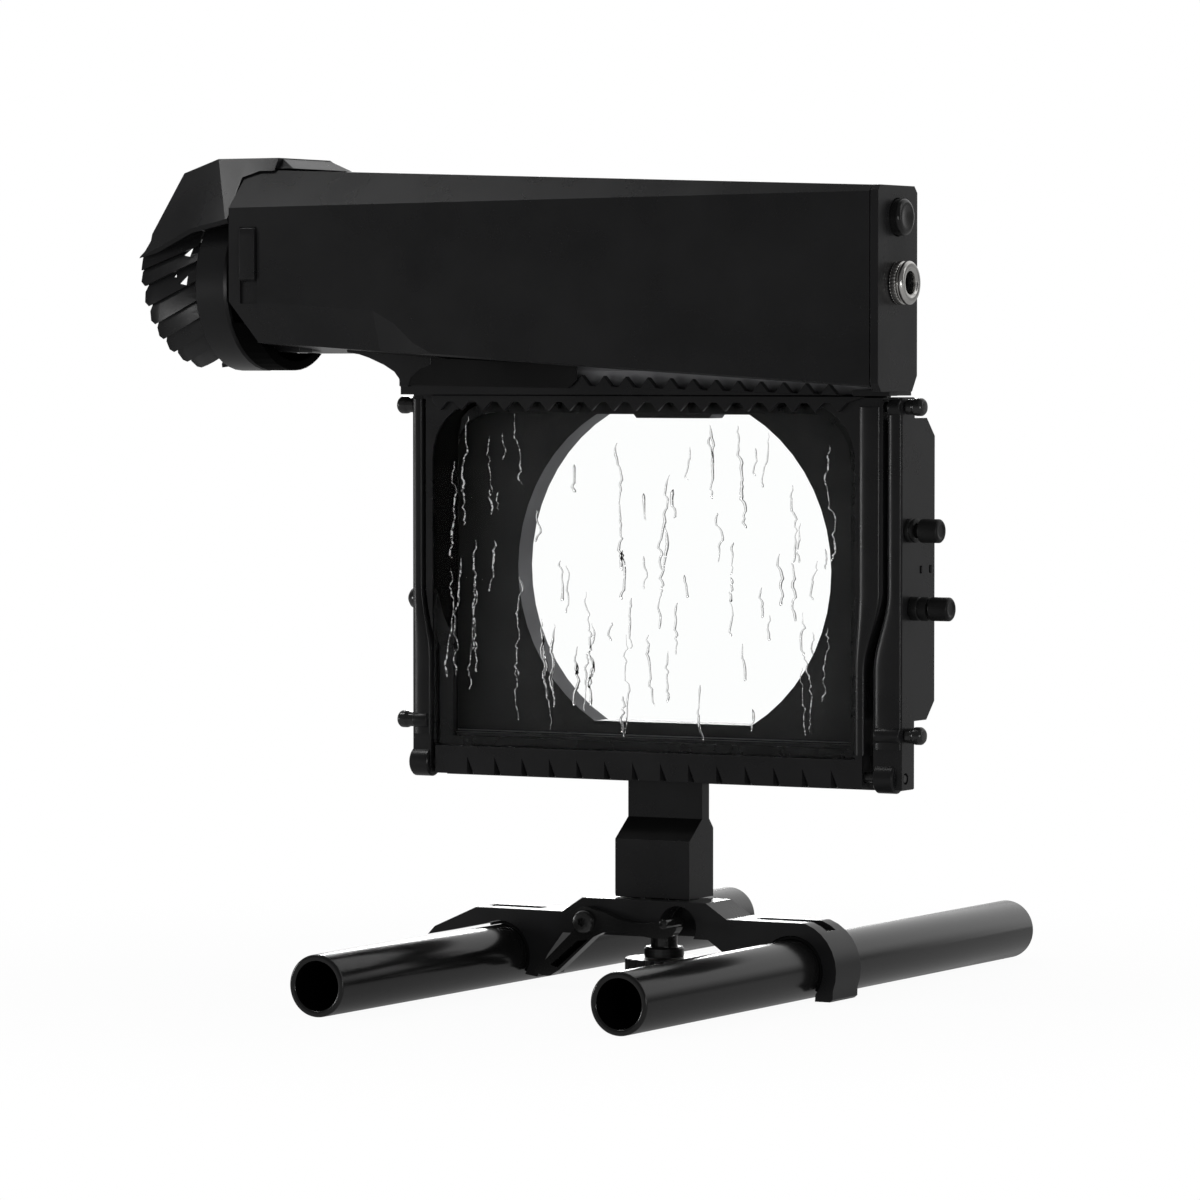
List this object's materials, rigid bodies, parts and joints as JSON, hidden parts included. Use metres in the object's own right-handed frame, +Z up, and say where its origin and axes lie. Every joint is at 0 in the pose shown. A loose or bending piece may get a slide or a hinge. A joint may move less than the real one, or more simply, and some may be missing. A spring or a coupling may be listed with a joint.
{
  "type": "camera rain deflector",
  "caption": "Rain deflector for a film camera: a fan and duct blow air down a hinged clear window, on a sliding clamp for twin studio rods.",
  "frame": {"origin": "centre of the whole object's box in plan, at the underside of the rods", "axes": "+X to the right seen from the front and along the duct, +Y away from the front along the rods, +Z up"},
  "size_m": [0.2816, 0.267, 0.2632],
  "materials": {
    "black_body": "black anodised, fine matt",
    "black_rod": "black anodised, polished",
    "black_plastic": "fine matt",
    "black_rubber": "matt",
    "steel": "plain",
    "blackened_steel": "blackened, satin",
    "chrome": "bright",
    "satin_metal": "satin",
    "gloss_button": "gloss",
    "circuit_board": "lacquered",
    "light_window": "smoked",
    "clear_glass": "clear, polished"
  },
  "bodies": {
    "rods": {"rod_left": "black_rod", "rod_right": "black_rod"},
    "cam_lever": {"cam_lever": "black_body"},
    "knob": {"clamp_knob": "black_body", "clamp_stud": "steel", "clamp_washer": "steel"},
    "door": {"door_frame": "black_body", "glass_pane": "clear_glass", "lower_comb": "black_plastic"},
    "latch_left": {"latch_pin_left": "blackened_steel"},
    "latch_right": {"latch_pin_right": "blackened_steel"},
    "power_button": {"power_button": "gloss_button"},
    "mode_button": {"mode_button": "blackened_steel"},
    "speed_knob": {"speed_knob": "blackened_steel"},
    "intake": {"intake_grille": "black_plastic", "intake_hood": "black_plastic"},
    "intake_latch": {"intake_latch": "black_plastic"},
    "fan": {"fan_shaft": "steel", "impeller": "black_plastic"},
    "carriage": {"air_vane": "satin_metal", "clamp_bridge": "black_body", "control_board": "circuit_board", "control_cover": "black_body", "control_housing": "black_body", "door_seal": "black_rubber", "duct_front_shell": "black_body", "duct_rear_shell": "black_body", "end_cap": "black_body", "fan_bulkhead": "black_plastic", "fan_collar": "black_plastic", "fan_guard": "blackened_steel", "fan_motor": "steel", "fan_throat": "black_plastic", "hinge_pin_left": "steel", "hinge_pin_right": "steel", "jaw_liner_left": "black_rubber", "jaw_liner_right": "black_rubber", "lever_screw": "steel", "light_window_front": "light_window", "light_window_rear": "light_window", "mode_button_collar": "blackened_steel", "neck_screw_left": "steel", "neck_screw_right": "steel", "nozzle_rail": "black_body", "rear_housing": "black_body", "riser_bracket": "black_body", "side_peg_left": "blackened_steel", "side_peg_right": "blackened_steel", "side_plate_left": "black_body", "side_screw": "blackened_steel", "socket_insert": "black_rubber", "socket_nut": "steel", "socket_shell": "chrome", "speed_knob_collar": "blackened_steel", "twist_pin_left": "steel", "twist_pin_right": "steel", "upper_comb": "black_plastic"}
  },
  "joints": [
    {"name": "carriage_slide", "type": "slide", "parent": "rods", "child": "carriage", "axis": [0, 1, 0], "range_m": [-0.1, 0.1]},
    {"name": "cam_lever_turn", "type": "hinge", "parent": "carriage", "child": "cam_lever", "pos_m": [0.0216, -0.023, 0.0218], "axis": [0, -1, 0], "range_deg": [0, 60]},
    {"name": "clamp_knob_turn", "type": "hinge", "parent": "carriage", "child": "knob", "pos_m": [0.0402, -0.0095, 0.0095], "axis": [0, 0, 1], "continuous": true},
    {"name": "door_hinge", "type": "hinge", "parent": "carriage", "child": "door", "pos_m": [0.0402, -0.0149, 0.0695], "axis": [1, 0, 0], "range_deg": [0, 90]},
    {"name": "latch_left_pull", "type": "slide", "parent": "carriage", "child": "latch_left", "axis": [-1, 0, 0], "range_m": [0, 0.004], "stiffness_N_per_m": 400, "springref_m": -0.004},
    {"name": "latch_right_pull", "type": "slide", "parent": "carriage", "child": "latch_right", "axis": [1, 0, 0], "range_m": [0, 0.004], "stiffness_N_per_m": 400, "springref_m": -0.004},
    {"name": "power_button_push", "type": "slide", "parent": "carriage", "child": "power_button", "axis": [-1, 0, 0], "range_m": [0, 0.002], "stiffness_N_per_m": 500, "springref_m": -0.002},
    {"name": "mode_button_push", "type": "slide", "parent": "carriage", "child": "mode_button", "axis": [-1, 0, 0], "range_m": [0, 0.0014], "stiffness_N_per_m": 500, "springref_m": -0.002},
    {"name": "speed_knob_turn", "type": "hinge", "parent": "carriage", "child": "speed_knob", "pos_m": [0.1274, -0.0107, 0.1217], "axis": [1, 0, 0], "range_deg": [-135, 135]},
    {"name": "intake_pull", "type": "slide", "parent": "carriage", "child": "intake", "axis": [-1, 0, 0], "range_m": [0, 0.015]},
    {"name": "intake_latch_slide", "type": "slide", "parent": "carriage", "child": "intake_latch", "axis": [0, 0, -1], "range_m": [0, 0.0055]},
    {"name": "fan_spin", "type": "hinge", "parent": "carriage", "child": "fan", "pos_m": [-0.1113, -0.0065, 0.2225], "axis": [1, 0, 0], "continuous": true}
  ]
}
